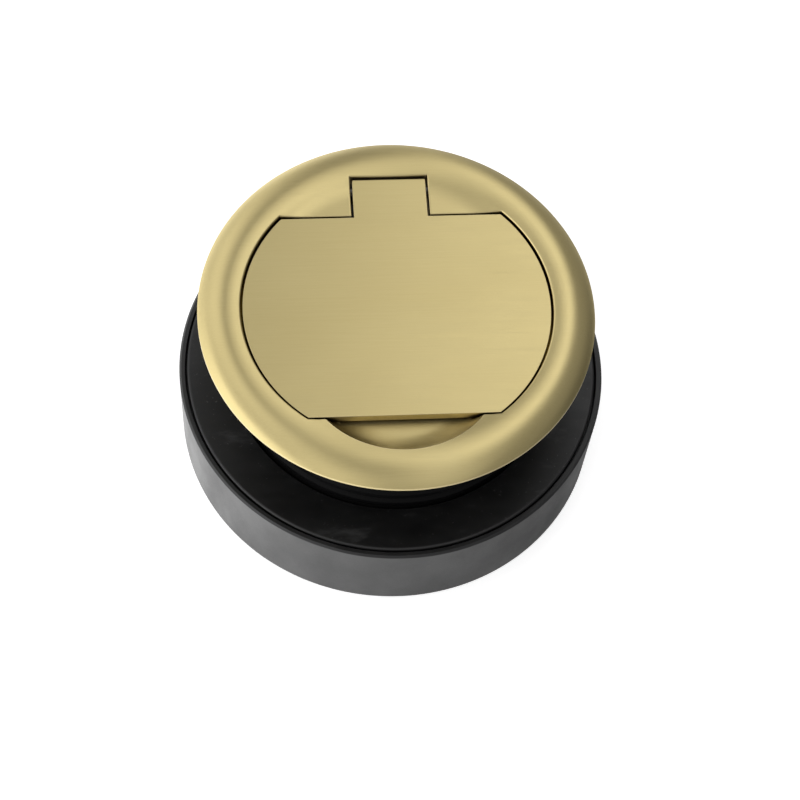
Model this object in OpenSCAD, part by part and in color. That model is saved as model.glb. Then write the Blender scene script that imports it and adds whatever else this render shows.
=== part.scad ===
// Flip-lid desk grommet. A domed brass flange drops into a hole in a desk top and carries a
// flush brass lid on a steel pin. A threaded plastic sleeve hangs below it through the hole,
// and a wide ring nut with a loose clamp washer grips the desk from underneath.
//
// Z = 0 is the flange's underside, on the hole's axis, and +Z is up. The lid is hinged at +Y
// and is lifted by a finger in the scoop at -Y.

/* [Flange] */
// Outer diameter of the brass flange
flange_d = 95; // [94:0.5:100]
// Height of the flange's crest above its underside
crest_h = 3.7; // [3.5:0.1:4.2]
// Radius at which the flange is highest
crest_r = 40.6; // [40:0.2:42]
// Radius below which the flange's top is flat
dish_r = 32; // [30:0.5:33]
// Height of the flat part, which the lid stands a little proud of
dish_h = 2.6; // [2.5:0.1:2.8]

/* [Lid] */
// Diameter of the lid's round outline
lid_d = 73.6; // [73.4:0.1:74]
// Height of the lid's top face
lid_top = 2.8; // [2.6:0.1:2.9]
// Thickness of the lid
lid_t = 2.4; // [2:0.1:2.4]
// Distance from the centre to the lid's straight back edge
lid_back = 25.3; // [24.5:0.1:25.6]
// Distance from the centre to the lid's straight front edge
lid_front = 29.2; // [28:0.2:30]
// Width of the lid's hinge tongue
tongue_w = 18; // [16:0.2:19]
// Distance from the centre to the back end of the tongue
tongue_end = 36.2; // [36:0.1:36.3]
// Gap round the lid at its sides and front
lid_gap = 0.5; // [0.3:0.05:0.5]
// Gap behind the lid, where its edge swings past the flange
back_gap = 0.5; // [0.5:0.05:0.6]

/* [Finger scoop] */
// Half width of the scoop where the lid's front edge crosses it
scoop_half_w = 18.8; // [16:0.2:19]
// Distance from the centre to the scoop's front edge
scoop_end = 38.2; // [37:0.2:39]
// Depth of the scoop's level floor below the lid's top face
scoop_dip = 3.6; // [3.2:0.1:4.2]
// Radius of the curve between the scoop's floor and its rim
scoop_wall_r = 7; // [6:0.5:8]

/* [Desk] */
// Diameter of the sleeve's plain shoulder, which centres it in an 80 mm hole
spigot_d = 78.8; // [78.6:0.1:79.2]
// Outer diameter of the sleeve's thread
thread_d = 78; // [77.8:0.1:78.2]
// Lead of the thread, by which one turn moves the nut
thread_pitch = 4; // [3:0.5:5]
// Distance from the flange's underside to the clamp washer's face
grip = 25.6; // [20:0.2:30]

/* [Ring nut] */
// Outer diameter of the ring nut
nut_d = 105; // [102:0.5:108]
// Height of the ring nut with its washer
nut_h = 24.5; // [20:0.5:28]
// Number of ribs inside the ring nut
rib_count = 12; // [6:1:18]

/* [Hidden] */
$fn = 96;
past = 1;                                   // how far a cutter runs past the face it cuts

brass = [0.74, 0.66, 0.42];
steel = [0.66, 0.67, 0.69];
black = [0.10, 0.10, 0.11];
rubber = [0.06, 0.06, 0.065];

// Flange
flange_r = flange_d / 2;
edge_h = 0.9;                               // height of the flange's thin outer edge
lid_r = lid_d / 2;
lid_bottom = lid_top - lid_t;
ledge_h = lid_bottom - 0.2;                 // height of the ledge that the lid sits over
collar_in = 34.8;                           // the cast collar below the flange
collar_out = 37.6;
collar_h = 7;
front_web_y = lid_front - 2.2;              // the webs reach this far in under the lid
back_web_y = lid_back - 2;
web_out = 36;                               // the webs end inside the collar's wall
back_web_h = 2;                             // depth of the webs below the underside
front_web_h = 4.2;
recess_r = lid_r + lid_gap;
notch_half_w = tongue_w / 2 + lid_gap;
notch_end = tongue_end + back_gap;

// Scoop: a round dish with a level floor and a hollow wall, whose outline at the height of the
// lid's top is a circle through the scoop's end and its two corners at the lid
scoop_plan_r = (pow(scoop_half_w, 2) + pow(scoop_end - lid_front, 2)) / (2 * (scoop_end - lid_front));
scoop_y = -(scoop_end - scoop_plan_r);
scoop_floor = lid_top - scoop_dip;
scoop_floor_r = scoop_plan_r - sqrt(pow(scoop_wall_r, 2) - pow(scoop_wall_r - scoop_dip, 2));

// Hinge
hinge_y = tongue_end - 2.5;
hinge_z = lid_top - 1.6;
tongue_round = 0.4;                         // rounding of the tongue's back upper edge
barrel_r = 2.2;
pin_r = 0.9;
pin_bore_r = 0.95;
pin_seat_r = 0.92;
pin_half = 13;
keeper_in = notch_half_w + 0.3;
keeper_out = 13.2;
keeper_front = 27.5;
keeper_back = 35;
keeper_t = 1.2;
keeper_tongue = 1.6;
keeper_screw_x = (keeper_in + keeper_out) / 2;
keeper_screw_y = 29.8;
keeper_gap_half = 14.5;                     // half width of the collar's gap at the hinge

// Lid bumpers, on the ledge
bumper_r = 1.1;
bumper_depth = 0.8;
bumper_at = [[21.4, -28.3], [-21.4, -28.3], [31.2, 18], [-31.2, 18]];

// Sleeve
sleeve_bottom = -(grip + nut_h - 0.5);
sleeve_bore = 36.4;
shoulder_h = 10;
socket_r = collar_out + 0.1;
socket_h = collar_h + 0.1;
ear_top = -collar_h - 0.4;
ear_h = 2.5;
ear_r = 3.2;
ear_at_r = 33.8;
ear_hole_r = 1.4;
ear_angles = [20, 160, 200, 340];
boss_r = 2.6;
boss_hole_r = 1.2;
boss_hole_top = -2.5;

// Seat gasket
gasket_in = 40.6;
gasket_out = 45.5;
gasket_t = 0.8;

// Ring nut and clamp washer
nut_r = nut_d / 2;
nut_bottom = -(grip + nut_h);
nut_draft = 0.4;                            // the wall leans in by this much at the bottom
rim_drop = 0.3;                             // the rim stands this much below the washer
rim_top = -grip - rim_drop;
rim_w = 1.5;
rim_chamfer = 0.5;
washer_in = thread_d / 2 + 0.6;
washer_out = nut_r - rim_w - 0.4;
washer_t = 2.4;
washer_round = 1.2;
washer_gap = 0.05;                          // between the washer and the nut's floor
nut_bore = thread_d / 2 + 0.3;
nut_floor = -grip - washer_t - washer_gap;
nut_web_t = 2.5;
skirt_t = 2.6;
hub_t = 2.8;
rib_t = 1.8;
rib_bottom = nut_bottom + 1.6;

// Points along an arc about [x, y], from angle a0 to angle a1
function arc(x, y, r, a0, a1, n = 14) =
    [for (i = [0 : n]) let (a = a0 + (a1 - a0) * i / n) [x + r * cos(a), y + r * sin(a)]];

// Radius of an arc that is level at one end and falls by drop over a run
function arc_r(run, drop) = (pow(run, 2) + pow(drop, 2)) / (2 * drop);

// The flange's top face: level dish, hollow curve, crest, then a full round to the thin edge
function dome_top() =
    let (half = (crest_r - dish_r) / 2, fall = (crest_h - dish_h) / 2, big = arc_r(half, fall),
         lean = asin(half / big), run = flange_r - crest_r, nose = arc_r(run, crest_h - edge_h))
    concat([[0, dish_h]],
           arc(dish_r, dish_h + big, big, -90, -90 + lean, 6),
           arc(crest_r, crest_h - big, big, 90 + lean, 90, 6),
           arc(crest_r, crest_h - nose, nose, 90, 90 - asin(run / nose), 16));

// Section of the domed plate from one radius to another, down to the height low
module dome_section(r_in, r_out, low) {
    intersection() {
        polygon(concat([[0, low]], dome_top(), [[flange_r, low]]));
        translate([r_in, low]) square([r_out - r_in, crest_h - low]);
    }
}

module tube(r_out, r_in, z0, z1) {
    translate([0, 0, z0]) difference() {
        cylinder(r = r_out, h = z1 - z0);
        translate([0, 0, -past]) cylinder(r = r_in, h = z1 - z0 + 2 * past);
    }
}

// A box from one corner to the other
module block(low, high) {
    translate(low) cube(high - low);
}

module both_sides() {
    children();
    mirror([1, 0, 0]) children();
}

module around_ears() {
    for (a = ear_angles) rotate([0, 0, a]) translate([ear_at_r, 0, 0]) children();
}

// Screw pointing up, with the underside of its head at z = 0 and a cross recess below
module screw(shank_r, shank_h, head_r, head_h) {
    difference() {
        union() {
            translate([0, 0, -head_h]) cylinder(r = head_r, h = head_h, $fn = 48);
            cylinder(r = shank_r, h = shank_h, $fn = 48);
        }
        for (turn = [0, 90]) rotate([0, 0, turn])
            block([-head_r * 0.62, -0.25, -head_h - past], [head_r * 0.62, 0.25, -head_h * 0.45]);
    }
}

// Outline of the lid without its tongue, with room round it and behind it
module lid_outline(room = 0, room_behind = 0) {
    intersection() {
        circle(r = lid_r + room);
        translate([-lid_d, -lid_front - room])
            square([2 * lid_d, lid_front + lid_back + room + room_behind]);
    }
}

module hinge_axis(r, half) {
    translate([-half, hinge_y, hinge_z]) rotate([0, 90, 0]) cylinder(r = r, h = 2 * half);
}

// The flange's own disc between two straight lines, which carries the hinge or the scoop
module web(y0, y1, depth) {
    intersection() {
        rotate_extrude() dome_section(0, web_out, -depth);
        block([-flange_r, y0, -depth], [flange_r, y1, crest_h]);
    }
}

module flange_body() {
    rotate_extrude() {
        dome_section(collar_in, flange_r, 0);
        dome_section(collar_in, collar_out, -collar_h);
    }
    web(back_web_y, flange_r, back_web_h);
    web(-flange_r, -front_web_y, front_web_h);
    around_ears() translate([0, 0, ear_top]) cylinder(r = boss_r, h = ledge_h - ear_top);
}

// Everything that is cut from the flange for the lid, the hinge and the screws
module flange_cuts() {
    translate([0, 0, ledge_h]) linear_extrude(crest_h + past) lid_outline(lid_gap, back_gap);
    block([-notch_half_w, back_web_y - past, -collar_h - past], [notch_half_w, notch_end, crest_h + past]);
    block([-keeper_gap_half, back_web_y, -collar_h - past],
          [keeper_gap_half, collar_out + past, -back_web_h]);
    hinge_axis(pin_seat_r, pin_half + 0.1);
    block([-pin_half - 0.1, hinge_y - pin_seat_r, -collar_h], [pin_half + 0.1, hinge_y + pin_seat_r, hinge_z]);
    translate([0, scoop_y, 0]) rotate_extrude($fn = 128) polygon(concat(
        [[0, scoop_floor]],
        arc(scoop_floor_r, scoop_floor + scoop_wall_r, scoop_wall_r, -90, 0, 16),
        [[0, scoop_floor + scoop_wall_r]]));
    around_ears() translate([0, 0, ear_top - past])
        cylinder(r = boss_hole_r, h = boss_hole_top - ear_top + past, $fn = 48);
    both_sides() translate([keeper_screw_x, keeper_screw_y, -back_web_h - past])
        cylinder(r = 1, h = back_web_h + past + 0.8, $fn = 48);
    for (at = bumper_at) translate([at[0], at[1], ledge_h - bumper_depth])
        cylinder(r = bumper_r + 0.05, h = bumper_depth + past, $fn = 48);
}

// Domed brass casting with the lid's recess, the finger scoop and the collar below
module flange_ring() {
    color(brass) difference() {
        flange_body();
        flange_cuts();
    }
}

// Flat brass lid with its hinge tongue and barrel
module flip_lid() {
    color(brass) difference() {
        union() {
            translate([0, 0, lid_bottom]) linear_extrude(lid_t) lid_outline();
            rotate([90, 0, 90]) translate([0, 0, -tongue_w / 2]) linear_extrude(tongue_w) {
                translate([lid_back - 1, lid_bottom])
                    square([tongue_end - tongue_round - lid_back + 1, lid_t]);
                translate([lid_back - 1, lid_bottom])
                    square([tongue_end - lid_back + 1, lid_t - tongue_round]);
                translate([tongue_end - tongue_round, lid_top - tongue_round])
                    circle(r = tongue_round, $fn = 48);
                intersection() {
                    translate([hinge_y, hinge_z]) circle(r = barrel_r);
                    translate([hinge_y - barrel_r, hinge_z - barrel_r])
                        square([2 * barrel_r, lid_top - tongue_round + barrel_r - hinge_z]);
                }
            }
        }
        hinge_axis(pin_bore_r, tongue_w);
    }
}

// Steel pin that the lid turns on
module hinge_pin() {
    color(steel) hinge_axis(pin_r, pin_half);
}

// Steel plates that hold the pin's ends up in their slots
module pin_keepers() {
    color(steel) both_sides() difference() {
        union() {
            block([keeper_in, keeper_front, -back_web_h - keeper_t], [keeper_out, keeper_back, -back_web_h]);
            block([keeper_in, hinge_y - keeper_tongue / 2, -back_web_h - 0.1],
                  [keeper_out - 0.3, hinge_y + keeper_tongue / 2, hinge_z - pin_r - 0.02]);
        }
        translate([keeper_screw_x, keeper_screw_y, -back_web_h - keeper_t - past])
            cylinder(r = 1.05, h = keeper_t + 2 * past, $fn = 48);
    }
}

module keeper_screws() {
    color(steel) both_sides() translate([keeper_screw_x, keeper_screw_y, -back_web_h - keeper_t])
        screw(0.95, 3.6, 1.7, 1);
}

// Rubber pads let into the ledge, which the lid closes on
module lid_bumpers() {
    color(rubber) for (at = bumper_at) translate([at[0], at[1], ledge_h - bumper_depth])
        cylinder(r = bumper_r, h = bumper_depth + lid_bottom - ledge_h - 0.02, $fn = 48);
}

// Thin ring between the flange and the desk
module seat_gasket() {
    color(rubber) tube(gasket_out, gasket_in, -gasket_t, 0);
}

// Plastic sleeve: socket for the collar, plain shoulder, then the thread at its outer diameter.
// Four ears inside take the screws that go up into the flange's bosses.
module threaded_sleeve() {
    color(black) difference() {
        union() {
            rotate_extrude() polygon([
                [sleeve_bore, sleeve_bottom], [thread_d / 2, sleeve_bottom], [thread_d / 2, -shoulder_h],
                [spigot_d / 2, -shoulder_h], [spigot_d / 2, 0], [socket_r, 0],
                [socket_r, -socket_h], [sleeve_bore, -socket_h]]);
            intersection() {
                around_ears() translate([0, 0, ear_top - ear_h]) cylinder(r = ear_r, h = ear_h);
                translate([0, 0, ear_top - ear_h - past]) cylinder(r = sleeve_bore + 0.5, h = ear_h + 2 * past);
            }
        }
        around_ears() translate([0, 0, ear_top - ear_h - past])
            cylinder(r = ear_hole_r, h = ear_h + 2 * past, $fn = 48);
    }
}

module sleeve_screws() {
    color(steel) around_ears() translate([0, 0, ear_top - ear_h]) screw(1.15, 6.6, 2.1, 1.6);
}

// Loose washer with a rounded edge, which presses on the desk and doesn't turn with the nut
module clamp_washer() {
    color(rubber) rotate_extrude() polygon(concat(
        [[washer_in, -grip - washer_t], [washer_out, -grip - washer_t]],
        arc(washer_out - washer_round, -grip - washer_round, washer_round, 0, 90, 8),
        [[washer_in, -grip]]));
}

// Ring nut: rim round the washer, floor, threaded hub, smooth outer wall and ribs between them
module lock_nut() {
    draft = nut_draft / nut_h;
    color(black) {
        rotate_extrude() polygon([
            [nut_bore, nut_floor], [nut_r - rim_w, nut_floor], [nut_r - rim_w, rim_top],
            [nut_r - rim_chamfer, rim_top], [nut_r, rim_top - rim_chamfer],
            [nut_r - nut_draft, nut_bottom], [nut_r - nut_draft - skirt_t, nut_bottom],
            [nut_r - skirt_t - draft * 6, nut_floor - nut_web_t],
            [nut_bore + hub_t, nut_floor - nut_web_t], [nut_bore + hub_t, rib_bottom],
            [nut_bore, rib_bottom]]);
        for (i = [0 : rib_count - 1]) rotate([0, 0, i * 360 / rib_count])
            block([nut_bore + hub_t - 0.5, -rib_t / 2, rib_bottom + 2],
                  [nut_r - nut_draft - skirt_t + 0.3, rib_t / 2, nut_floor - nut_web_t + 0.5]);
    }
}

flange_ring();
flip_lid();
hinge_pin();
pin_keepers();
keeper_screws();
lid_bumpers();
seat_gasket();
threaded_sleeve();
sleeve_screws();
clamp_washer();
lock_nut();
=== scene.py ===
"""Looks of a flip-lid desk grommet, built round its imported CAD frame.

Sizes are in millimetres in the classes and become metres when a mesh is made. Z = 0 is the
flange's underside, +Y is the hinge side and -Y is the finger scoop.
"""

import logging
import math
from dataclasses import dataclass, field
from enum import Enum

import bmesh
import bpy
import numpy as np
from mathutils import Matrix, Vector


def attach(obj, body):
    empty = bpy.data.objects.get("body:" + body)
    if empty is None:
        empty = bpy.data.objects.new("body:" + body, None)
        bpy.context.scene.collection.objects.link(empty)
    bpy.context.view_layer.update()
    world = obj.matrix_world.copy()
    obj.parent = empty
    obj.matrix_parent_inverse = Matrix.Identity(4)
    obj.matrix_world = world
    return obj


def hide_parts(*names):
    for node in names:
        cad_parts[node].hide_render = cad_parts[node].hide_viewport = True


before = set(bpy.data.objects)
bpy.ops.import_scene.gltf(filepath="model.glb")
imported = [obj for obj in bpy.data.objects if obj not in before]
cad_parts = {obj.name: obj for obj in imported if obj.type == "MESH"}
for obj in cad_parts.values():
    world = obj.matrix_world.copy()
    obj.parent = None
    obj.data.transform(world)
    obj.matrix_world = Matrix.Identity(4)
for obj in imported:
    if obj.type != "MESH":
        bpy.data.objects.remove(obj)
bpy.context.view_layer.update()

LOG = logging.getLogger("grommet")
MM = 0.001
WELD_MM = 0.0015
TINY = 1e-6
FAR = 1e3
SMOOTH_COLUMNS = 9
WORN_REACH_MM = 0.25
ROOM_FOR_ARC = 0.45
PAD_BESIDE_ARC = 0.35
Array = np.ndarray
Triple = tuple[float, float, float]
Socket = bpy.types.NodeSocket
WHITE = (1.0, 1.0, 1.0, 1.0)


class Body(Enum):
    """The CAD bodies that pieces ride on."""

    GROMMET = "grommet_body"
    LID = "lid"
    WASHER = "washer"
    NUT = "nut"


# ---- surfaces


@dataclass
class Surface:
    """Vertices in millimetres, quads, and how worn each vertex is from 0 to 1."""

    points: Array
    quads: Array
    wear: Array

    def moved(self, shift: Triple) -> "Surface":
        """The surface moved by a shift in millimetres."""
        return Surface(self.points + np.array(shift), self.quads, self.wear)

    def turned(self, angles_deg: Array) -> "Surface":
        """Copies of the surface turned about the Z axis, one for each angle.

        Args:
            angles_deg: the turns in degrees.

        Returns:
            One surface that holds all the copies.
        """
        a = np.radians(angles_deg)[:, None]
        x, y, z = self.points.T
        spun = np.stack([x * np.cos(a) - y * np.sin(a), x * np.sin(a) + y * np.cos(a),
                         np.broadcast_to(z, (len(a), len(z)))], axis=-1)
        starts = len(self.points) * np.arange(len(a))
        quads = (self.quads[None] + starts[:, None, None]).reshape(-1, 4)
        return Surface(spun.reshape(-1, 3), quads, np.tile(self.wear, len(a)))


def joined(parts: list[Surface]) -> Surface:
    """Several surfaces as one.

    Args:
        parts: the surfaces, in order.

    Returns:
        Their points and quads one after another.
    """
    starts = np.cumsum([0] + [len(p.points) for p in parts[:-1]])
    return Surface(np.concatenate([p.points for p in parts]),
                   np.concatenate([p.quads + s for p, s in zip(parts, starts)]),
                   np.concatenate([p.wear for p in parts]))


def grid(points: Array, wear: Array | None = None, wrap_rows: bool = True,
         wrap_columns: bool = True) -> Surface:
    """Quads over a grid of points, each joined to the next row and the next column.

    Args:
        points: rows by columns by 3, in millimetres.
        wear: how worn each point is, rows by columns.
        wrap_rows: whether the last row joins the first.
        wrap_columns: whether the last column joins the first.

    Returns:
        The surface.
    """
    rows, columns = points.shape[:2]
    i = np.arange(rows if wrap_rows else rows - 1)[:, None]
    j = np.arange(columns if wrap_columns else columns - 1)[None]
    i2, j2 = (i + 1) % rows, (j + 1) % columns
    quads = np.stack([i * columns + j, i * columns + j2, i2 * columns + j2, i2 * columns + j], axis=-1)
    worn = np.zeros((rows, columns)) if wear is None else np.broadcast_to(wear, (rows, columns))
    return Surface(points.reshape(-1, 3), quads.reshape(-1, 4), worn.ravel())


@dataclass
class Rows:
    """The rows of a grid, added one by one."""

    points: list[Array] = field(default_factory=list)
    wear: list[Array] = field(default_factory=list)

    def add(self, plan: Array, height: Array | float, edge: Array | float = 0.0) -> None:
        """Adds a row of plan points with their heights and how worn they are."""
        self.points.append(np.column_stack([plan, np.broadcast_to(height, len(plan))]))
        self.wear.append(np.broadcast_to(edge, len(plan)).astype(float))

    def surface(self, wrap_rows: bool = True) -> Surface:
        """The grid of all the rows."""
        return grid(np.stack(self.points), np.stack(self.wear), wrap_rows=wrap_rows)


def rounded(corners: list[Triple], steps: int = 5, closed: bool = True) -> tuple[Array, Array]:
    """A polyline whose corners are arcs.

    An arc is the rational curve ((1-s)^2 A + 2 w s (1-s) P + s^2 C) / ((1-s)^2 + 2 w s (1-s) + s^2)
    through its ends A and C, where P is the corner and w the sine of half the angle at it. A
    point a little before and after each arc keeps the flats flat when they are shaded smooth.

    Args:
        corners: (first coordinate, second coordinate, radius) of each corner.
        steps: how many parts an arc has.
        closed: whether the last corner joins the first. An open line's ends aren't rounded.

    Returns:
        The points, and how much each is part of an edge, from 0 to 1.
    """
    c = np.array(corners, float)
    p, radius = c[:, :2], c[:, 2].copy()
    if not closed:
        radius[[0, -1]] = 0
    before, after = np.roll(p, 1, 0) - p, np.roll(p, -1, 0) - p
    if not closed:
        before[0], after[-1] = -after[0], -before[-1]
    len_a, len_b = (np.linalg.norm(v, axis=1, keepdims=True) for v in (before, after))
    a, b = before / len_a, after / len_b
    half = np.arccos(np.clip((a * b).sum(1), -1, 1)) / 2
    trim = np.where(radius > 0, radius / np.maximum(np.tan(half), TINY), 0)[:, None]
    trim = np.minimum(trim, ROOM_FOR_ARC * np.minimum(len_a, len_b))
    weight = np.sin(half)[:, None, None]
    s = np.linspace(0, 1, steps + 1)[None, :, None]
    start, end = (p + a * trim)[:, None], (p + b * trim)[:, None]
    arc = ((1 - s) ** 2 * start + 2 * weight * s * (1 - s) * p[:, None] + s ** 2 * end) / (
        (1 - s) ** 2 + 2 * weight * s * (1 - s) + s ** 2)
    pad = PAD_BESIDE_ARC * trim
    line = np.concatenate([(p + a * (trim + pad))[:, None], arc, (p + b * (trim + pad))[:, None]], axis=1)
    edge = np.zeros(line.shape[:2])
    edge[:, 1:-1] = (radius > 0)[:, None]
    return line.reshape(-1, 2), edge.ravel()


def revolved(profile: Array, edge: Array, columns: int = 256) -> Surface:
    """A closed profile turned about Z: (r cos t, r sin t, z) for t from 0 to a full turn.

    Args:
        profile: (r, z) points of the section, in order round it.
        edge: how worn each profile point is.
        columns: steps in a full turn.

    Returns:
        The closed ring.
    """
    t = np.linspace(0, 2 * np.pi, columns, endpoint=False)[None]
    r, z = profile[:, :1], profile[:, 1:]
    points = np.stack([r * np.cos(t), r * np.sin(t), z + 0 * t], axis=-1)
    return grid(points, edge[:, None])


def make_piece(name: str, surface: Surface, body: Body, material: bpy.types.Material,
               nodes: tuple[str, ...], sharp_deg: float = 35.0) -> None:
    """Makes the mesh of a piece, welds it, turns its faces outwards and puts it on its body.

    Args:
        name: the piece's name.
        surface: its shape in millimetres.
        body: the CAD body that it moves with.
        material: its finish.
        nodes: the CAD nodes that it stands for.
        sharp_deg: an edge that bends more than this is shaded as a crease.
    """
    mesh = bpy.data.meshes.new(name)
    count, faces = len(surface.points), len(surface.quads)
    mesh.vertices.add(count)
    mesh.vertices.foreach_set("co", (surface.points * MM).astype(np.float32).ravel())
    mesh.loops.add(4 * faces)
    mesh.loops.foreach_set("vertex_index", surface.quads.astype(np.int32).ravel())
    mesh.polygons.add(faces)
    mesh.polygons.foreach_set("loop_start", (4 * np.arange(faces)).astype(np.int32))
    mesh.update(calc_edges=True)
    worn = mesh.attributes.new("wear", "FLOAT", "POINT")
    worn.data.foreach_set("value", surface.wear.astype(np.float32))
    bm = bmesh.new()
    bm.from_mesh(mesh)
    bmesh.ops.remove_doubles(bm, verts=bm.verts, dist=WELD_MM * MM)
    bmesh.ops.dissolve_degenerate(bm, edges=bm.edges, dist=WELD_MM * MM * 0.5)
    bmesh.ops.recalc_face_normals(bm, faces=bm.faces)
    bm.to_mesh(mesh)
    bm.free()
    mesh.shade_smooth()
    mesh.set_sharp_from_angle(angle=math.radians(sharp_deg))
    mesh.materials.append(material)
    piece = bpy.data.objects.new(name, mesh)
    bpy.context.scene.collection.objects.link(piece)
    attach(piece, body.value)
    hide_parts(*nodes)
    LOG.info("%s: %d faces on %s", name, len(mesh.polygons), body.value)


# ---- finishes


@dataclass
class Tree:
    """A node tree, and the few moves that the finishes and the sky share."""

    nodes: bpy.types.NodeTree
    material: bpy.types.Material | None = None

    @classmethod
    def named(cls, name: str) -> "Tree":
        """An empty tree in a new material of that name."""
        material = bpy.data.materials.new(name)
        material.use_nodes = True
        material.node_tree.nodes.clear()
        return cls(material.node_tree, material)

    def fill(self, socket: Socket, value: object) -> None:
        """Links another node's output to a socket, or sets the socket's value."""
        if isinstance(value, Socket):
            self.nodes.links.new(value, socket)
        else:
            socket.default_value = value

    def node(self, kind: str, **sockets: object) -> bpy.types.Node:
        """Adds a node and fills its sockets.

        Args:
            kind: the node's type.
            sockets: a value, or another node's output, for each socket, with _ for a space.

        Returns:
            The node.
        """
        made = self.nodes.nodes.new(kind)
        for name, value in sockets.items():
            self.fill(made.inputs[name.replace("_", " ")], value)
        return made

    def place(self, stretch: Triple, turn: Triple = (0, 0, 0)) -> Socket:
        """The piece's own coordinates, turned by radians and scaled to repeats a metre."""
        own = self.node("ShaderNodeTexCoord").outputs["Object"]
        return self.node("ShaderNodeMapping", Vector=own, Scale=stretch, Rotation=turn).outputs["Vector"]

    def noise(self, stretch: Triple, detail: float = 3.0, rough: float = 0.55,
              turn: Triple = (0, 0, 0)) -> Socket:
        """Soft noise from 0 to 1, with that many repeats a metre along each axis."""
        made = self.node("ShaderNodeTexNoise", Vector=self.place(stretch, turn), Scale=1.0,
                         Detail=detail, Roughness=rough)
        return made.outputs["Fac"]

    def spread(self, value: Socket, low: float, high: float,
               to_low: float, to_high: float) -> Socket:
        """Maps low to high onto to_low to to_high, held at the ends."""
        made = self.node("ShaderNodeMapRange", Value=value, From_Min=low, From_Max=high,
                         To_Min=to_low, To_Max=to_high)
        return made.outputs["Result"]

    def maths(self, operation: str, a: object, b: object) -> Socket:
        """One arithmetic step on two values."""
        made = self.nodes.nodes.new("ShaderNodeMath")
        made.operation = operation
        for socket, value in zip(made.inputs, (a, b)):
            self.fill(socket, value)
        return made.outputs[0]

    def blend(self, share: Socket, a: object, b: object) -> Socket:
        """The colour a where share is 0 and b where it is 1."""
        made = self.nodes.nodes.new("ShaderNodeMix")
        made.data_type = "RGBA"
        self.fill(made.inputs["Factor"], share)
        for socket, value in ((made.inputs[6], a), (made.inputs[7], b)):
            self.fill(socket, value if isinstance(value, Socket) else (*value, 1))
        return made.outputs[2]

    def wear(self) -> Socket:
        """How worn the mesh says each point is."""
        made = self.node("ShaderNodeAttribute")
        made.attribute_name = "wear"
        return made.outputs["Fac"]

    def bump(self, height: Socket, depth_mm: float, strength: float = 1.0) -> Socket:
        """A normal from a height that is depth_mm deep at full strength."""
        made = self.node("ShaderNodeBump", Height=height, Distance=depth_mm * MM, Strength=strength)
        return made.outputs["Normal"]

    def finish(self, **sockets: object) -> bpy.types.Material:
        """Ends the tree in one shader with these sockets, and returns the material."""
        shader = self.node("ShaderNodeBsdfPrincipled", **sockets)
        self.node("ShaderNodeOutputMaterial", Surface=shader.outputs["BSDF"])
        return self.material


@dataclass(frozen=True)
class BrushedBrass:
    """Satin brass, brushed in straight lines along X, under a thin clear lacquer, with painted shade
    darkening its gaps and creases.
    """

    name: str = "brushed_brass"
    light: Triple = (0.60, 0.505, 0.25)
    dark: Triple = (0.51, 0.415, 0.19)
    polished: Triple = (0.70, 0.60, 0.36)
    # Painted shade: the dark colour that the gaps round the lid and the hollow under its front edge are
    # darkened towards, where shadow falls.
    gap_shade: Triple = (0.055, 0.032, 0.004)
    gap_reach: float = 0.0022
    roughness: float = 0.35
    anisotropy: float = 0.85

    def material(self) -> bpy.types.Material:
        """Builds the brass.

        Returns:
            The material.
        """
        t = Tree.named(self.name)
        strokes = t.noise((55, 3400, 3400), detail=4, rough=0.66)
        hairs = t.noise((200, 11000, 11000), detail=2, rough=0.5)
        cloud = t.noise((30, 45, 45), detail=2)
        lines = t.maths("ADD", t.maths("MULTIPLY", strokes, 0.65), t.maths("MULTIPLY", hairs, 0.35))
        tone = t.maths("ADD", t.spread(lines, 0.30, 0.70, 0.1, 0.7), t.spread(cloud, 0.35, 0.65, 0.0, 0.2))
        colour = t.blend(t.maths("MULTIPLY", t.wear(), 0.5),
                         t.blend(tone, self.dark, self.light), self.polished)
        # Painted shade: ambient occlusion darkens the colour in gaps and creases, round the lid and under its
        # front edge, where shadow falls.
        open_air = t.node("ShaderNodeAmbientOcclusion", Distance=self.gap_reach).outputs["AO"]
        colour = t.blend(t.spread(open_air, 0.30, 0.72, 1.0, 0.0), colour, self.gap_shade)
        rough = t.maths("SUBTRACT", t.spread(lines, 0.35, 0.65, self.roughness - 0.05, self.roughness + 0.06),
                        t.maths("MULTIPLY", t.wear(), 0.07))
        across = t.node("ShaderNodeCombineXYZ", X=0.0, Y=1.0, Z=0.0)
        return t.finish(Base_Color=colour, Metallic=1.0, Roughness=rough, Anisotropic=self.anisotropy,
                        Tangent=across.outputs[0], Normal=t.bump(lines, 0.004, 0.6))


@dataclass(frozen=True)
class MouldedPlastic:
    """Black moulded plastic with a fine skin, dull patches and paler worn edges."""

    name: str
    base: Triple = (0.012, 0.012, 0.0125)
    edge: Triple = (0.045, 0.045, 0.046)
    roughness: float = 0.42
    specular: float = 0.5
    grain: float = 2200.0
    grain_mm: float = 0.004

    def material(self) -> bpy.types.Material:
        """Builds the plastic.

        Returns:
            The material.
        """
        t = Tree.named(self.name)
        skin = t.noise((self.grain,) * 3, detail=3, rough=0.6)
        patches = t.noise((90, 90, 60), detail=4)
        colour = t.blend(t.maths("MULTIPLY", t.wear(), t.spread(patches, 0.4, 0.65, 0.1, 0.7)),
                         t.blend(t.spread(patches, 0.4, 0.7, 0, 1), self.base,
                                 tuple(1.35 * c for c in self.base)), self.edge)
        rough = t.maths("ADD", t.spread(patches, 0.35, 0.65, self.roughness - 0.04, self.roughness + 0.06),
                        t.spread(skin, 0.3, 0.7, -0.02, 0.02))
        return t.finish(Base_Color=colour, Roughness=rough, Specular_IOR_Level=self.specular,
                        Normal=t.bump(skin, self.grain_mm))


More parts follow.
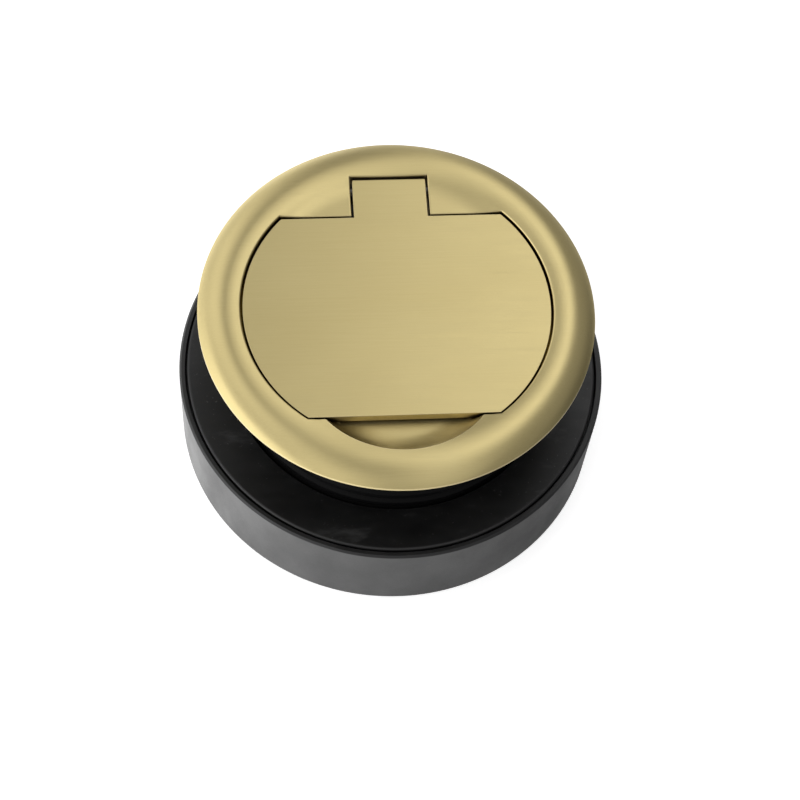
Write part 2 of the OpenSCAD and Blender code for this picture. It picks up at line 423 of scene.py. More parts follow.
@dataclass(frozen=True)
class ScuffedRubber:
    """Black rubber with pale rubbed marks and a little dust."""

    name: str
    base: Triple = (0.0022, 0.0022, 0.0024)
    dust: Triple = (0.085, 0.085, 0.085)
    roughness: float = 0.42
    specular: float = 0.45
    dust_amount: float = 0.5

    def material(self) -> bpy.types.Material:
        """Builds the rubber.

        Returns:
            The material.
        """
        t = Tree.named(self.name)
        skin = t.noise((1600,) * 3, detail=4, rough=0.65)
        smears = t.noise((45, 120, 60), detail=6, rough=0.7, turn=(0, 0, 0.5))
        specks = t.noise((1500,) * 3, detail=2, rough=0.5)
        rubbed = t.spread(smears, 0.56, 0.80, 0.0, self.dust_amount)
        dusty = t.spread(specks, 0.70, 0.76, 0.0, self.dust_amount)
        share = t.maths("MAXIMUM", rubbed, dusty)
        share = t.maths("MAXIMUM", share, t.maths("MULTIPLY", t.wear(), 0.12))
        rough = t.spread(smears, 0.35, 0.65, self.roughness - 0.06, self.roughness + 0.1)
        return t.finish(Base_Color=t.blend(share, self.base, self.dust), Roughness=rough,
                        Specular_IOR_Level=self.specular, Normal=t.bump(skin, 0.006))


@dataclass(frozen=True)
class ZincSteel:
    """Bright zinc-plated steel with faint drawing marks."""

    name: str
    light: Triple = (0.62, 0.62, 0.64)
    dark: Triple = (0.42, 0.42, 0.44)
    roughness: float = 0.32

    def material(self) -> bpy.types.Material:
        """Builds the steel.

        Returns:
            The material.
        """
        t = Tree.named(self.name)
        marks = t.noise((300, 4000, 4000), detail=3, rough=0.6)
        bloom = t.noise((700,) * 3, detail=3)
        tone = t.maths("MULTIPLY", t.spread(marks, 0.35, 0.65, 0.4, 1.0),
                       t.spread(bloom, 0.35, 0.65, 0.5, 1.0))
        rough = t.spread(bloom, 0.35, 0.65, self.roughness - 0.06, self.roughness + 0.12)
        return t.finish(Base_Color=t.blend(tone, self.dark, self.light), Metallic=1.0, Roughness=rough,
                        Normal=t.bump(marks, 0.003))


# ---- brass


@dataclass
class LidOutline:
    """Plan outline of the lid: a circle cut by a line in front and one behind, with a tongue."""

    radius: float = 36.8
    front: float = 29.2
    back: float = 25.3
    tongue_half: float = 9.0
    tongue_end: float = 36.2
    side_steps: int = 130
    back_steps: int = 36
    tongue_side_steps: int = 22
    tongue_end_steps: int = 38
    front_steps: int = 104

    def points(self, gap: float = 0.0, gap_behind: float | None = None, offset: float = 0.0) -> Array:
        """The outline grown by a gap, in order from the right end of its front line.

        Args:
            gap: how far it grows at its sides and front.
            gap_behind: how far it grows behind, or None for the same as gap.
            offset: a further growth on all sides.

        Returns:
            Plan points, one row each, at the same shares of each line whatever the growth.
        """
        grow = gap + offset
        behind = (gap if gap_behind is None else gap_behind) + offset
        r, front, back = self.radius + grow, self.front + grow, self.back + behind
        half, end = self.tongue_half + grow, self.tongue_end + behind
        low, high = -math.asin(front / r), math.asin(back / r)
        side = np.linspace(low, high, self.side_steps, endpoint=False)
        right = np.stack([r * np.cos(side), r * np.sin(side)], axis=1)
        other = np.linspace(math.pi - high, math.pi - low, self.side_steps, endpoint=False)
        left = np.stack([r * np.cos(other), r * np.sin(other)], axis=1)
        x_back, x_front = r * math.cos(high), r * math.cos(low)

        def line(a: tuple[float, float], b: tuple[float, float], steps: int) -> Array:
            """Points from a towards b, without b."""
            return np.linspace(a, b, steps, endpoint=False)

        return np.concatenate([
            right,
            line((x_back, back), (half, back), self.back_steps),
            line((half, back), (half, end), self.tongue_side_steps),
            line((half, end), (-half, end), self.tongue_end_steps),
            line((-half, end), (-half, back), self.tongue_side_steps),
            line((-half, back), (-x_back, back), self.back_steps),
            left,
            line((-x_front, -front), (x_front, -front), self.front_steps),
        ])


def edge_drop(depth: Array | float, radius: Array | float) -> Array:
    """How far a rounded edge lies below its face: radius - sqrt(radius^2 - (radius - depth)^2).

    Args:
        depth: distance in from the edge's outer side.
        radius: the edge's radius.

    Returns:
        The drop, which is 0 where depth is at least radius.
    """
    inside = np.clip(np.asarray(radius) - depth, 0, None)
    return np.asarray(radius) - np.sqrt(np.clip(np.asarray(radius) ** 2 - inside ** 2, 0, None))


def softer_minimum(a: Array, b: Array, width: float) -> Array:
    """The lower of two heights, with the crease between them rounded over width.

    With h = clip(1/2 + (b - a) / (2 width), 0, 1) it is b (1 - h) + a h - width h (1 - h) / 2.
    """
    h = np.clip(0.5 + 0.5 * (b - a) / width, 0, 1)
    return b * (1 - h) + a * h - 0.5 * width * h * (1 - h)


def share_where_it_rises(gap: object, count: int) -> Array:
    """Shares from 0 to 1 at which a rising function of a share passes zero, by halving.

    Args:
        gap: takes an array of shares, one a column, and returns the function's values.
        count: how many columns there are.

    Returns:
        The share in each column: 0 if it is above zero all along, 1 if it is below.
    """
    low, high = np.zeros(count), np.ones(count)
    for _ in range(40):
        middle = (low + high) / 2
        below = gap(middle) < 0
        low, high = np.where(below, middle, low), np.where(below, high, middle)
    return (low + high) / 2


def worn_at(depth: float) -> float:
    """How worn an edge is at a distance in from its outer side."""
    return max(0.0, 1 - depth / WORN_REACH_MM)


def evened(values: Array) -> Array:
    """The mean of each value and its neighbours in a list that closes on itself.

    Args:
        values: the list.

    Returns:
        A list of the same length.
    """
    count = len(values)
    window = np.ones(SMOOTH_COLUMNS) / SMOOTH_COLUMNS
    return np.convolve(np.tile(values, 3), window, "same")[count:2 * count]


@dataclass
class FlangeCasting:
    """The domed brass flange with the lid's recess, the finger scoop and the collar below."""

    finish: BrushedBrass
    outline: LidOutline = field(default_factory=LidOutline)
    rim_r: float = 47.5
    edge_h: float = 0.9
    crest_r: float = 40.6
    crest_h: float = 3.7
    dish_r: float = 32.0
    dish_h: float = 2.6
    lid_top: float = 2.8
    ledge_h: float = 0.2
    lid_gap: float = 0.5
    back_gap: float = 0.5
    collar_in: float = 34.8
    collar_out: float = 37.6
    collar_h: float = 7.0
    front_web_y: float = 27.0
    back_web_y: float = 23.3
    front_web_h: float = 4.2
    back_web_h: float = 2.0
    keeper_gap_deg: float = 23.6
    boss_at_r: float = 33.8
    boss_r: float = 2.6
    boss_h: float = 7.4
    boss_angles: tuple[float, ...] = (20.0, 160.0, 200.0, 340.0)
    scoop_half_w: float = 18.8
    scoop_end: float = 38.2
    scoop_dip: float = 3.6
    scoop_wall_r: float = 7.0
    scoop_beyond: float = 3.0
    gap_edge: float = 0.34
    scoop_edge: float = 0.10

    def dome(self, r: Array) -> Array:
        """Height of the top face at a radius.

        It is level to dish_r, then two equal arcs of radius (run^2 + rise^2) / (2 rise), one
        hollow and one full, climb to the crest, and one more arc falls to the edge's height.
        """
        half, rise = (self.crest_r - self.dish_r) / 2, (self.crest_h - self.dish_h) / 2
        big = (half ** 2 + rise ** 2) / (2 * rise)
        run, fall = self.rim_r - self.crest_r, self.crest_h - self.edge_h
        nose = (run ** 2 + fall ** 2) / (2 * fall)

        def drop(radius: float, away: Array) -> Array:
            """How far an arc has left its level end after going away from it."""
            return radius - np.sqrt(np.clip(radius ** 2 - away ** 2, 0, None))

        return np.select(
            [r <= self.dish_r, r <= self.dish_r + half, r <= self.crest_r],
            [self.dish_h + 0 * r, self.dish_h + drop(big, r - self.dish_r),
             self.crest_h - drop(big, self.crest_r - r)],
            self.crest_h - drop(nose, r - self.crest_r))

    def scoop_circle(self) -> tuple[float, float]:
        """The scoop's outline at the height of the lid's top, a circle in plan.

        Returns:
            Its centre's Y and its radius.
        """
        front, out = self.outline.front, self.scoop_end
        radius = (self.scoop_half_w ** 2 + (out - front) ** 2) / (2 * (out - front))
        return radius - out, radius

    def scoop(self, plan: Array) -> Array:
        """Height of the scoop at plan points.

        It is a level floor inside a hollow wall, floor + w - sqrt(w^2 - a^2), where a is how
        far the point is past the floor's edge and w the wall's radius. Further out than w it
        climbs in a steep straight line, clear of the dome.
        """
        y, radius = self.scoop_circle()
        w = self.scoop_wall_r
        floor_r = radius - math.sqrt(w ** 2 - (w - self.scoop_dip) ** 2)
        past = np.clip(np.hypot(plan[..., 0], plan[..., 1] - y) - floor_r, 0, None)
        arc, beyond = np.minimum(past, w), np.maximum(past - w, 0)
        return self.lid_top - self.scoop_dip + w - np.sqrt(w ** 2 - arc ** 2) + self.scoop_beyond * beyond

    def top(self, plan: Array) -> Array:
        """Height of the top face at plan points, where the scoop cuts the dome."""
        dome = self.dome(np.hypot(plan[..., 0], plan[..., 1]))
        return softer_minimum(dome, self.scoop(plan), self.scoop_edge)

    def inner_reach(self, wall: Array) -> tuple[Array, Array]:
        """Radius of the ledge's inner edge in the direction of each wall point.

        It is the collar's inner circle, cut by the two webs' faces, and each boss bulges in by
        d cos a - sqrt(r^2 - (d sin a)^2), at an angle a from a boss of radius r at distance d.

        Args:
            wall: plan points of the recess's wall.

        Returns:
            The radii, and the height that the metal reaches down to there.
        """
        r = np.hypot(wall[:, 0], wall[:, 1])
        across, along = wall[:, 0] / r, wall[:, 1] / r
        up, down = np.maximum(along, TINY), np.maximum(-along, TINY)
        notch = self.outline.tongue_half + self.lid_gap
        beside = notch / np.maximum(abs(across), TINY)
        back = np.where(along > 0, np.maximum(self.back_web_y / up, beside), FAR)
        front = np.where(along < 0, self.front_web_y / down, FAR)
        reach = np.minimum(np.minimum(self.collar_in, back), front)
        foot = np.where(front < self.collar_in, -self.front_web_h, -self.collar_h)
        foot = np.where(back < self.collar_in, -self.back_web_h, foot)
        notch_deg = math.degrees(math.atan2(notch, self.outline.back + self.back_gap)) + 0.1
        behind = np.degrees(np.arctan2(wall[:, 0], wall[:, 1]))
        foot = np.where(abs(behind) < notch_deg, -self.back_web_h, foot)
        reach = np.where(abs(behind) < notch_deg, r, reach)
        for angle in self.boss_angles:
            turn = np.arctan2(wall[:, 1], wall[:, 0]) - math.radians(angle)
            aside = self.boss_at_r * np.sin(turn)
            near = self.boss_at_r * np.cos(turn) - np.sqrt(np.clip(self.boss_r ** 2 - aside ** 2, 0, None))
            on_boss = (abs(aside) < self.boss_r) & (np.cos(turn) > 0) & (near < reach)
            reach, foot = np.where(on_boss, near, reach), np.where(on_boss, -self.boss_h, foot)
        return np.minimum(reach, r), foot

    def surface(self) -> Surface:
        """The whole casting as one closed grid.

        A column is a cut from the middle outwards through one point of the recess's wall. It
        climbs the web, crosses the ledge, climbs the wall, follows the scoop to its rim and the
        dome to the edge, and comes back below. Where a stretch isn't there its rows fall
        together and are welded.

        Returns:
            The surface.
        """
        wall = self.outline.points(self.lid_gap, self.back_gap)
        count = len(wall)
        wall_r = np.hypot(wall[:, 0], wall[:, 1])
        way = wall / wall_r[:, None]
        reach, foot = self.inner_reach(wall)
        inner = way * reach[:, None]
        crest = way * self.crest_r
        rows = Rows()

        def toward(share: Array | float, a: Array, b: Array) -> Array:
            """Plan points a share of the way from a to b."""
            return a + np.broadcast_to(share, count)[:, None] * (b - a)

        ledge = np.minimum(self.ledge_h, self.scoop(inner))
        rows.add(inner, foot)
        rows.add(inner, ledge - 0.3)
        cut = share_where_it_rises(lambda s: self.scoop(toward(s, inner, wall)) - self.ledge_h, count)
        for share, sink in ((0.0, 0.12), (0.25, 0.0), (0.5, 0.0), (0.75, 0.0), (1.0, 0.0)):
            plan = toward(share * cut, inner, wall)
            rows.add(plan, np.minimum(self.ledge_h, self.scoop(plan)) - sink)
        for share in (0.12, 0.5, 1.0):
            plan = toward(cut + share * (1 - cut), inner, wall)
            rows.add(plan, np.minimum(self.ledge_h, self.scoop(plan)))

        def above_dome(share: Array) -> Array:
            """How far the scoop is above the dome at a share of the way to the crest."""
            plan = toward(share, wall, crest)
            return self.scoop(plan) - self.dome(np.linalg.norm(plan, axis=1))

        rim_share = share_where_it_rises(above_dome, count)
        in_scoop = rim_share > TINY
        near_scoop = evened(in_scoop.astype(float))
        edge_r = self.gap_edge * np.clip(1 - 2 * near_scoop, 0, 1)
        wall_top = np.where(in_scoop, np.minimum(self.scoop(wall), self.top(wall)), self.top(wall) - edge_r)
        wall_foot = np.minimum(self.ledge_h, self.scoop(wall))
        for share in (0.5, 0.97):
            rows.add(wall, wall_foot + share * (wall_top - wall_foot))
        for share in np.concatenate([np.linspace(0, 0.93, 24), [0.96, 0.98, 0.992, 1.0]]):
            plan = toward(share * rim_share, wall, crest)
            height = np.where(in_scoop, self.top(plan), wall_top)
            rows.add(plan, height, float(share > 0.97) * in_scoop * 0.8)

        rim = toward(rim_share, wall, crest)
        from_middle = rim - np.array([0, self.scoop_circle()[0]])
        from_middle /= np.linalg.norm(from_middle, axis=1, keepdims=True)
        straight = self.outline.points(self.lid_gap, self.back_gap, 1.0) - wall
        aim = np.where(in_scoop[:, None], from_middle, straight)
        smooth = np.stack([evened(aim[:, 0]), evened(aim[:, 1])], axis=1)
        margin = SMOOTH_COLUMNS - 1
        front = np.zeros(count, bool)
        front[count - self.outline.front_steps + margin:count - margin] = True
        aim = np.where(front[:, None], smooth, straight)
        for out in (0.02, 0.05, 0.09, 0.13, 0.17, 0.22, 0.3, 0.45):
            plan = rim + aim * out
            rows.add(plan, self.top(plan) - edge_drop(out, edge_r) * (edge_r > 0), worn_at(out))
        start = rim + aim * 0.45
        for share in np.linspace(0, 1, 17)[1:]:
            plan = toward(share, start, crest)
            rows.add(plan, self.top(plan))

        nose_r = self.crest_r + (self.rim_r - self.crest_r) * np.sin(np.linspace(0, np.pi / 2, 18))[1:-1]
        nose = [(r, float(self.dome(np.array(r))), 0.0) for r in nose_r]
        line, edge = rounded([*nose, (self.rim_r, self.edge_h, 0.3), (self.rim_r, 0.0, 0.25),
                              (self.collar_out, 0.0, 0.0), (self.collar_out, -self.collar_h, 0.4),
                              (self.collar_in, -self.collar_h, 0.0)],
                             steps=4, closed=False)
        behind = np.degrees(np.arctan2(wall[:, 0], wall[:, 1]))
        low = np.where(abs(behind) < self.keeper_gap_deg, -self.back_web_h, -self.collar_h)
        for (r, z), e in zip(line, edge):
            rows.add(way * np.maximum(r, reach)[:, None], np.maximum(z, low), e)
        under = np.where(reach < self.collar_in - TINY, foot, low)
        rows.add(way * np.maximum(self.collar_in, reach)[:, None], under)
        rows.points[0][:, 2] = under
        return rows.surface()

    def build(self) -> None:
        """Makes the casting."""
        make_piece("flange_casting", self.surface(), Body.GROMMET, self.finish.material(),
                   ("flange_ring",))


@dataclass
class FlipLid:
    """The flat brass lid with its tongue, and the barrel under it that the pin goes through."""

    finish: BrushedBrass
    outline: LidOutline = field(default_factory=LidOutline)
    top_h: float = 2.8
    thickness: float = 2.4
    edge: float = 0.16
    tongue_round: float = 0.4
    barrel_y: float = 33.7
    barrel_z: float = 1.2
    barrel_r: float = 2.2

    def top(self, plan: Array) -> Array:
        """Height of the top face: level, with a quarter round along the tongue's back edge."""
        past = np.clip(plan[:, 1] - (self.outline.tongue_end - self.tongue_round), 0, self.tongue_round)
        return self.top_h - self.tongue_round + np.sqrt(self.tongue_round ** 2 - past ** 2)

    def plate(self) -> Surface:
        """The plate: rows shrink from its outline to its middle, above and below.

        Returns:
            A closed surface.
        """
        rows = Rows()
        bottom = self.top_h - self.thickness
        inset = self.outline.points(offset=-1.0)
        for share in (0.0, 0.2, 0.4, 0.6, 0.75, 0.87, 0.95):
            rows.add(inset * share, self.top_h)
        depths = np.array([1.0, 0.85, 0.7, 0.58, 0.46, 0.36, 0.28, 0.22, 0.17, 0.12, 0.08, 0.04, 0.015, 0.0])
        for depth in depths:
            plan = self.outline.points(offset=-depth)
            rows.add(plan, self.top(plan) - edge_drop(depth, self.edge), worn_at(depth))
        for depth in depths[depths <= 0.28][::-1]:
            rows.add(self.outline.points(offset=-depth), bottom + edge_drop(depth, self.edge),
                     0.5 * worn_at(depth))
        for share in (0.95, 0.6, 0.0):
            rows.add(inset * share, bottom)
        return rows.surface(wrap_rows=False)

    def barrel(self) -> Surface:
        """The barrel: a round (y0 + r cos a, z0 + r sin a) carried along X, with closed ends.

        Returns:
            A closed surface.
        """
        a = np.linspace(0, 2 * np.pi, 64, endpoint=False)
        half = self.outline.tongue_half - 0.06
        reach = np.array([-half, -half, -half + 0.12, -half + 0.3, half - 0.3, half - 0.12, half, half])
        radius = np.array([0, self.barrel_r - 0.2, self.barrel_r - 0.03, self.barrel_r,
                           self.barrel_r, self.barrel_r - 0.03, self.barrel_r - 0.2, 0])[:, None]
        z = np.minimum(self.barrel_z + radius * np.sin(a), self.top_h - 0.9)
        points = np.stack([reach[:, None] + 0 * a, self.barrel_y + radius * np.cos(a), z], axis=-1)
        return grid(points, wrap_rows=False)

    def build(self) -> None:
        """Makes the lid."""
        make_piece("lid_plate", joined([self.plate(), self.barrel()]), Body.LID,
                   self.finish.material(), ("flip_lid",))


# ---- plastic and rubber


@dataclass
class ThreadedSleeve:
    """The plastic sleeve: socket for the collar, plain shoulder, thread, and four screw ears."""

    finish: MouldedPlastic
    bore_r: float = 36.4
    socket_r: float = 37.7
    socket_h: float = 7.1
    shoulder_r: float = 39.4
    shoulder_h: float = 10.0
    crest_r: float = 39.0
    root_r: float = 38.15
    pitch: float = 4.0
    bottom: float = -49.6
    rows_a_turn: int = 12
    columns: int = 240
    ear_r: float = 3.2
    ear_hole_r: float = 1.4
    ear_top: float = -7.4
    ear_h: float = 2.5
    ear_at_r: float = 33.8
    ear_angles: tuple[float, ...] = (20.0, 160.0, 200.0, 340.0)

    def thread_r(self, phase: Array, z: Array) -> Array:
        """Radius of the thread at a share of its pitch, fading to the root at both its ends.

        The ridge is flat over the middle third of the pitch, with a straight flank of a sixth
        on each side.
        """
        flat, flank = 2 / 12, 2 / 12
        away = abs((phase % 1.0) - 7 / 12)
        ridge = np.clip((flat + flank - away) / flank, 0, 1)
        top, low = -self.shoulder_h - 1.2, self.bottom + 1.0
        fade = np.clip((top - z) / (0.7 * self.pitch), 0, 1) * np.clip((z - low) / (0.5 * self.pitch), 0, 1)
        return self.root_r + (self.crest_r - self.root_r) * ridge * fade

    def tube(self) -> Surface:
        """Wall and thread as one closed grid, whose last column is the first one again.

        A row of the thread falls by one pitch in a turn, z = z0 - pitch (k / rows + t / 2 pi),
        and is held between the thread's two ends.

        Returns:
            The surface.
        """
        t = np.linspace(0, 2 * np.pi, self.columns + 1)
        high, low = -self.shoulder_h - 1.2, self.bottom + 1.0
        turns = math.ceil((high - low) / self.pitch) + 1
        k = np.arange(-self.rows_a_turn, turns * self.rows_a_turn + 1)[:, None] / self.rows_a_turn
        z = np.clip(high - self.pitch * (k + t / (2 * np.pi)), low, high)
        phase = (high - z) / self.pitch - t / (2 * np.pi)
        r = self.thread_r(phase, z)
        thread = np.stack([r * np.cos(t), r * np.sin(t), z], axis=-1)
        lower, edge_low = rounded([(self.root_r, low, 0.0), (self.root_r, self.bottom, 0.4),
                                   (self.bore_r, self.bottom, 0.3), (self.bore_r, -self.socket_h, 0.2)],
                                  closed=False)
        upper, edge_up = rounded([(self.bore_r, -self.socket_h, 0.0), (self.socket_r, -self.socket_h, 0.15),
                                  (self.socket_r, 0.0, 0.25), (self.shoulder_r, 0.0, 0.3),
                                  (self.shoulder_r, -self.shoulder_h, 0.5),
                                  (self.root_r, -self.shoulder_h, 0.3),
                                  (self.root_r, high, 0.0)], closed=False)
        rest = np.concatenate([lower, upper])
        ring = np.stack([rest[:, :1] * np.cos(t), rest[:, :1] * np.sin(t), rest[:, 1:] + 0 * t], axis=-1)
        worn = np.concatenate([0.5 * (r - self.root_r) / (self.crest_r - self.root_r),
                               np.concatenate([edge_low, edge_up])[:, None] + 0 * t])
        return grid(np.concatenate([thread, ring]), worn, wrap_columns=False)

    def ears(self) -> Surface:
        """Four pierced ears, each a small ring turned about its screw.

        Returns:
            The surface.
        """
        low, high = self.ear_top - self.ear_h, self.ear_top
        line, edge = rounded([(self.ear_hole_r, low, 0.2), (self.ear_r, low, 0.4), (self.ear_r, high, 0.3),
                              (self.ear_hole_r, high, 0.2)], steps=3)
        ear = revolved(line, edge, 48).moved((self.ear_at_r, 0, 0))
        return ear.turned(np.array(self.ear_angles))

    def build(self) -> None:
        """Makes the sleeve."""
        make_piece("sleeve_tube", joined([self.tube(), self.ears()]), Body.GROMMET,
                   self.finish.material(), ("threaded_sleeve",), 30)


@dataclass
class ClampWasher:
    """The loose washer with a rounded upper edge, which bears on the desk."""

    finish: ScuffedRubber
    inner_r: float = 39.6
    outer_r: float = 50.6
    face: float = -25.6
    thickness: float = 2.4
    edge: float = 0.6

    def build(self) -> None:
        """Makes the washer."""
        low = self.face - self.thickness
        line, edge = rounded([(self.inner_r, low, 0.3), (self.outer_r, low, 0.3),
                              (self.outer_r, self.face, self.edge), (self.inner_r, self.face, 0.4)], steps=8)
        make_piece("washer_ring", revolved(line, 0.5 * edge, 320), Body.WASHER,
                   self.finish.material(), ("clamp_washer",))


@dataclass
class LockNut:
    """The wide ring nut: rim, floor, outer skirt, threaded hub and the ribs between them."""

    finish: MouldedPlastic
    outer_r: float = 52.5
    draft: float = 0.4
    rim_in: float = 51.0
    rim_top: float = -25.9
    floor: float = -28.05
    bottom: float = -50.1
    bore_r: float = 39.3
    skirt_t: float = 2.6
    hub_t: float = 2.8
    web_t: float = 2.5
    hub_rise: float = 1.6
    rib_t: float = 1.8
    rib_count: int = 12

    def ring(self) -> Surface:
        """The nut's section turned about its axis.

        Returns:
            A closed surface.
        """
        skirt_in = self.outer_r - self.draft - self.skirt_t
        hub_out, under = self.bore_r + self.hub_t, self.floor - self.web_t
        line, edge = rounded([
            (self.bore_r, self.floor, 0.5), (self.rim_in, self.floor, 0.3), (self.rim_in, self.rim_top, 0.2),
            (self.outer_r - 0.5, self.rim_top, 0.12), (self.outer_r, self.rim_top - 0.5, 0.25),
            (self.outer_r - self.draft, self.bottom, 0.5), (skirt_in, self.bottom, 0.4),
            (skirt_in + 0.3, under, 1.0), (hub_out, under, 1.0),
            (hub_out, self.bottom + self.hub_rise, 0.4), (self.bore_r, self.bottom + self.hub_rise, 0.4)],
            steps=6)
        return revolved(line, edge, 360)

    def ribs(self) -> Surface:
        """Ribs from the hub to the skirt: a round-edged strip carried outwards, ends closed.

        Returns:
            The surface.
        """
        low, high = self.bottom + self.hub_rise + 2, self.floor - self.web_t + 0.5
        half = self.rib_t / 2
        loop, edge = rounded([(-half, low, 0.4), (half, low, 0.4), (half, high, 0.0), (-half, high, 0.0)],
                             steps=3)
        middle = np.array([0.0, (low + high) / 2])
        start, end = self.bore_r + self.hub_t - 0.5, self.outer_r - self.draft - self.skirt_t + 0.4
        reach = np.array([start, start, end, end])[:, None]
        size = np.array([0.0, 1.0, 1.0, 0.0])[:, None, None]
        section = middle + size * (loop[None] - middle)
        points = np.stack([reach + 0 * section[..., 0], section[..., 0], section[..., 1]], axis=-1)
        rib = grid(points, 0.5 * edge[None], wrap_rows=False)
        return rib.turned(np.arange(self.rib_count) * 360 / self.rib_count)

    def build(self) -> None:
        """Makes the nut."""
        make_piece("nut_ring", joined([self.ring(), self.ribs()]), Body.NUT,
                   self.finish.material(), ("lock_nut",))


@dataclass
class SeatGasket:
    """The thin ring between the flange and the desk."""

    finish: ScuffedRubber
    inner_r: float = 40.6
    outer_r: float = 45.5
    thickness: float = 0.8

    def build(self) -> None:
        """Makes the gasket."""
        line, edge = rounded([(self.inner_r, -self.thickness, 0.25), (self.outer_r, -self.thickness, 0.25),
                              (self.outer_r, -0.01, 0.1), (self.inner_r, -0.01, 0.1)], steps=4)
        make_piece("gasket_ring", revolved(line, 0.3 * edge), Body.GROMMET,
                   self.finish.material(), ("seat_gasket",))


@dataclass
class SmallHardware:
    """The pin, keepers, screws and bumpers, which keep their CAD shapes and get their finishes."""

    steel: ZincSteel
    pin: ZincSteel
    rubber: ScuffedRubber
    pin_nodes: tuple[str, ...] = ("hinge_pin",)
    steel_nodes: tuple[str, ...] = ("pin_keepers", "keeper_screws", "sleeve_screws")
    rubber_nodes: tuple[str, ...] = ("lid_bumpers",)

    def dress(self) -> None:
        """Puts each finish on its nodes."""
        sets = ((self.steel, self.steel_nodes), (self.pin, self.pin_nodes), (self.rubber, self.rubber_nodes))
        for finish, names in sets:
            material = finish.material()
            for name in names:
                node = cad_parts[name]
                node.data.materials.clear()
                node.data.materials.append(material)
                LOG.info("%s: %s", name, material.name)


# ---- studio


@dataclass
class Softbox:
    """A flat rectangular light that points at the grommet."""

    name: str
    at: Triple
    size: tuple[float, float]
    radiance: float
    aim: Triple = (0.0, 0.0, -0.02)

    def build(self) -> None:
        """Makes the light. Its power is radiance times area times pi."""
        data = bpy.data.lights.new(self.name, "AREA")
        data.shape = "RECTANGLE"
        data.size, data.size_y = self.size
        data.energy = self.radiance * self.size[0] * self.size[1] * math.pi
        lamp = bpy.data.objects.new(self.name, data)
        bpy.context.scene.collection.objects.link(lamp)
        lamp.location = self.at
        lamp.rotation_euler = (Vector(self.aim) - Vector(self.at)).to_track_quat("-Z", "Y").to_euler()


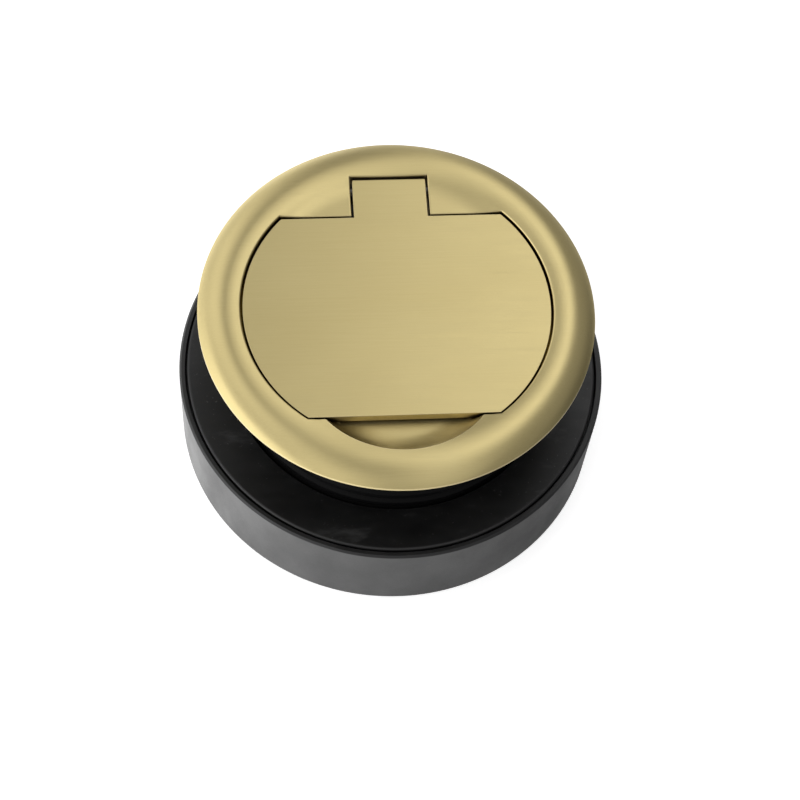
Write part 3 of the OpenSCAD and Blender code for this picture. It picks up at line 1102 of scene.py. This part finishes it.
@dataclass
class Studio:
    """White table, soft lights and the camera."""

    floor_z: float = -0.05012
    floor_half: float = 4.0
    floor_grey: float = 0.80
    floor_glow: float = 0.62
    # Painted light and shade seen in reflections: the table glows brightly left of the first X and not at all
    # right of the second.
    glow_left: float = 1.3
    glow_right: float = 0.0
    glow_from_to: tuple[float, float] = (-0.05, 0.045)
    backdrop: float = 0.93
    sky: tuple[tuple[float, float], ...] = (
        (-1.0, 1.0), (-0.35, 0.80), (-0.07, 0.34), (0.04, 0.34), (0.30, 0.48), (0.80, 0.36),
        (1.0, 0.05))
    lens_mm: float = 108.0
    sensor_mm: float = 36.0
    clip: tuple[float, float] = (0.01, 20.0)
    distance: float = 0.5728
    azimuth_deg: float = -9.14
    elevation_deg: float = 61.63
    roll_deg: float = 6.39
    look_at_z: float = 0.00045
    aside: float = 0.00075
    below: float = 0.02115
    boxes: tuple[Softbox, ...] = (
        Softbox("left_box", (-1.05, -0.30, 0.35), (1.3, 0.8), 1.25),
        Softbox("top_right_box", (0.34, 0.75, 1.25), (0.64, 1.5), 1.10),
        Softbox("streak_box", (0.34, 0.70, 1.22), (0.18, 1.5), 0.28),
        Softbox("top_left_box", (-0.68, 0.75, 1.25), (0.84, 1.5), 0.72),
        Softbox("overhead_box", (0.40, -0.10, 1.5), (0.9, 0.5), 0.55),
        Softbox("front_box", (0.0, -0.95, 1.0), (1.7, 0.9), 0.50),
    )

    def floor(self) -> None:
        """A wide pale table that the nut stands on, which can't be seen from below.

        It glows evenly white to the camera. Reflections see a painted glow, bright on the left and fading to
        none on the right, which stands in for the table being lit on the left and in shadow on the right.
        """
        half = self.floor_half
        mesh = bpy.data.meshes.new("table")
        mesh.from_pydata([(-half, -half, self.floor_z), (half, -half, self.floor_z),
                          (half, half, self.floor_z), (-half, half, self.floor_z)], [], [(0, 1, 2, 3)])
        t = Tree.named("table_white")
        mottle = t.noise((8, 8, 8), detail=2)
        seen = t.node("ShaderNodeLightPath").outputs["Is Camera Ray"]
        across = t.node("ShaderNodeSeparateXYZ", Vector=t.place((1, 1, 1))).outputs["X"]
        # Painted light and shade: reflections see the table glow on the left, fading to none on the right.
        painted_glow = t.spread(across, *self.glow_from_to, self.glow_left, self.glow_right)
        glow = t.maths("ADD", t.maths("MULTIPLY", seen, self.floor_glow),
                       t.maths("MULTIPLY", t.maths("SUBTRACT", 1.0, seen), painted_glow))
        behind = t.node("ShaderNodeNewGeometry").outputs["Backfacing"]
        mesh.materials.append(t.finish(
            Base_Color=t.blend(mottle, (self.floor_grey,) * 3, (self.floor_grey + 0.02,) * 3),
            Roughness=0.9, Specular_IOR_Level=0.1, Emission_Color=WHITE, Emission_Strength=glow,
            Alpha=t.maths("SUBTRACT", 1.0, behind)))
        table = bpy.data.objects.new("table", mesh)
        bpy.context.scene.collection.objects.link(table)

    def lights(self) -> None:
        """The softboxes, and a sky whose brightness depends on how far it lies along X.

        The sky that lights the part follows the stops in self.sky. The camera sees an even one.
        """
        world = bpy.data.worlds.new("studio")
        bpy.context.scene.world = world
        world.use_nodes = True
        world.node_tree.nodes.clear()
        t = Tree(world.node_tree)
        facing = t.node("ShaderNodeTexCoord").outputs["Generated"]
        along_x = t.node("ShaderNodeSeparateXYZ", Vector=facing).outputs["X"]
        sides = t.node("ShaderNodeValToRGB", Fac=t.spread(along_x, -1.0, 1.0, 0.0, 1.0))
        ramp = sides.color_ramp.elements
        while len(ramp) < len(self.sky):
            ramp.new(0.5)
        for stop, (toward, level) in zip(ramp, self.sky):
            stop.position = (toward + 1) / 2
            stop.color = (level, level, level, 1)
        pick = t.node("ShaderNodeMix", Factor=t.node("ShaderNodeLightPath").outputs["Is Camera Ray"],
                      A=sides.outputs["Color"], B=self.backdrop)
        air = t.node("ShaderNodeBackground", Color=WHITE, Strength=pick.outputs[0])
        t.node("ShaderNodeOutputWorld", Surface=air.outputs["Background"])
        for box in self.boxes:
            box.build()

    def camera(self) -> None:
        """The camera, high above the scoop and a little left of it, turned about its own axis."""
        a, e, roll = (math.radians(v) for v in (self.azimuth_deg, self.elevation_deg, self.roll_deg))
        back = Vector((math.sin(a) * math.cos(e), -math.cos(a) * math.cos(e), math.sin(e)))
        level = Vector((math.cos(a), math.sin(a), 0))
        above = back.cross(level)
        right = level * math.cos(roll) + above * math.sin(roll)
        up = above * math.cos(roll) - level * math.sin(roll)
        place = Vector((0, 0, self.look_at_z)) + back * self.distance + right * self.aside - up * self.below
        data = bpy.data.cameras.new("camera")
        data.lens, data.sensor_width = self.lens_mm, self.sensor_mm
        data.clip_start, data.clip_end = self.clip
        camera = bpy.data.objects.new("camera", data)
        bpy.context.scene.collection.objects.link(camera)
        turn = Matrix((right, up, back)).transposed().to_4x4()
        camera.matrix_world = Matrix.Translation(place) @ turn
        bpy.context.scene.camera = camera

    def build(self) -> None:
        """Makes the whole studio."""
        self.floor()
        self.lights()
        self.camera()
        bpy.context.scene.view_settings.view_transform = "Standard"


def main() -> None:
    """Builds the studio and then each sub-assembly in order."""
    logging.basicConfig(level=logging.INFO, format="%(name)s: %(message)s")
    Studio().build()
    FlangeCasting(BrushedBrass("brass_flange")).build()
    FlipLid(BrushedBrass("brass_lid")).build()
    # Painted shade: the sleeve gets a darker, hardly reflective copy of the nut's black plastic, standing in
    # for the flange's shadow over it.
    ThreadedSleeve(MouldedPlastic("sleeve_plastic_painted_shade", base=(0.0018, 0.0018, 0.002), edge=(0.006, 0.006, 0.006),
                                  roughness=0.5, specular=0.08)).build()
    ClampWasher(ScuffedRubber("washer_rubber")).build()
    LockNut(MouldedPlastic("nut_plastic", base=(0.010, 0.010, 0.0103), specular=0.4)).build()
    SeatGasket(ScuffedRubber("gasket_rubber", dust_amount=0.1)).build()
    SmallHardware(ZincSteel("zinc_steel"),
                  ZincSteel("oiled_steel", light=(0.17, 0.16, 0.15), dark=(0.09, 0.085, 0.08),
                            roughness=0.45),
                  ScuffedRubber("bumper_rubber", dust_amount=0.15)).dress()


if __name__ == "__main__":
    main()
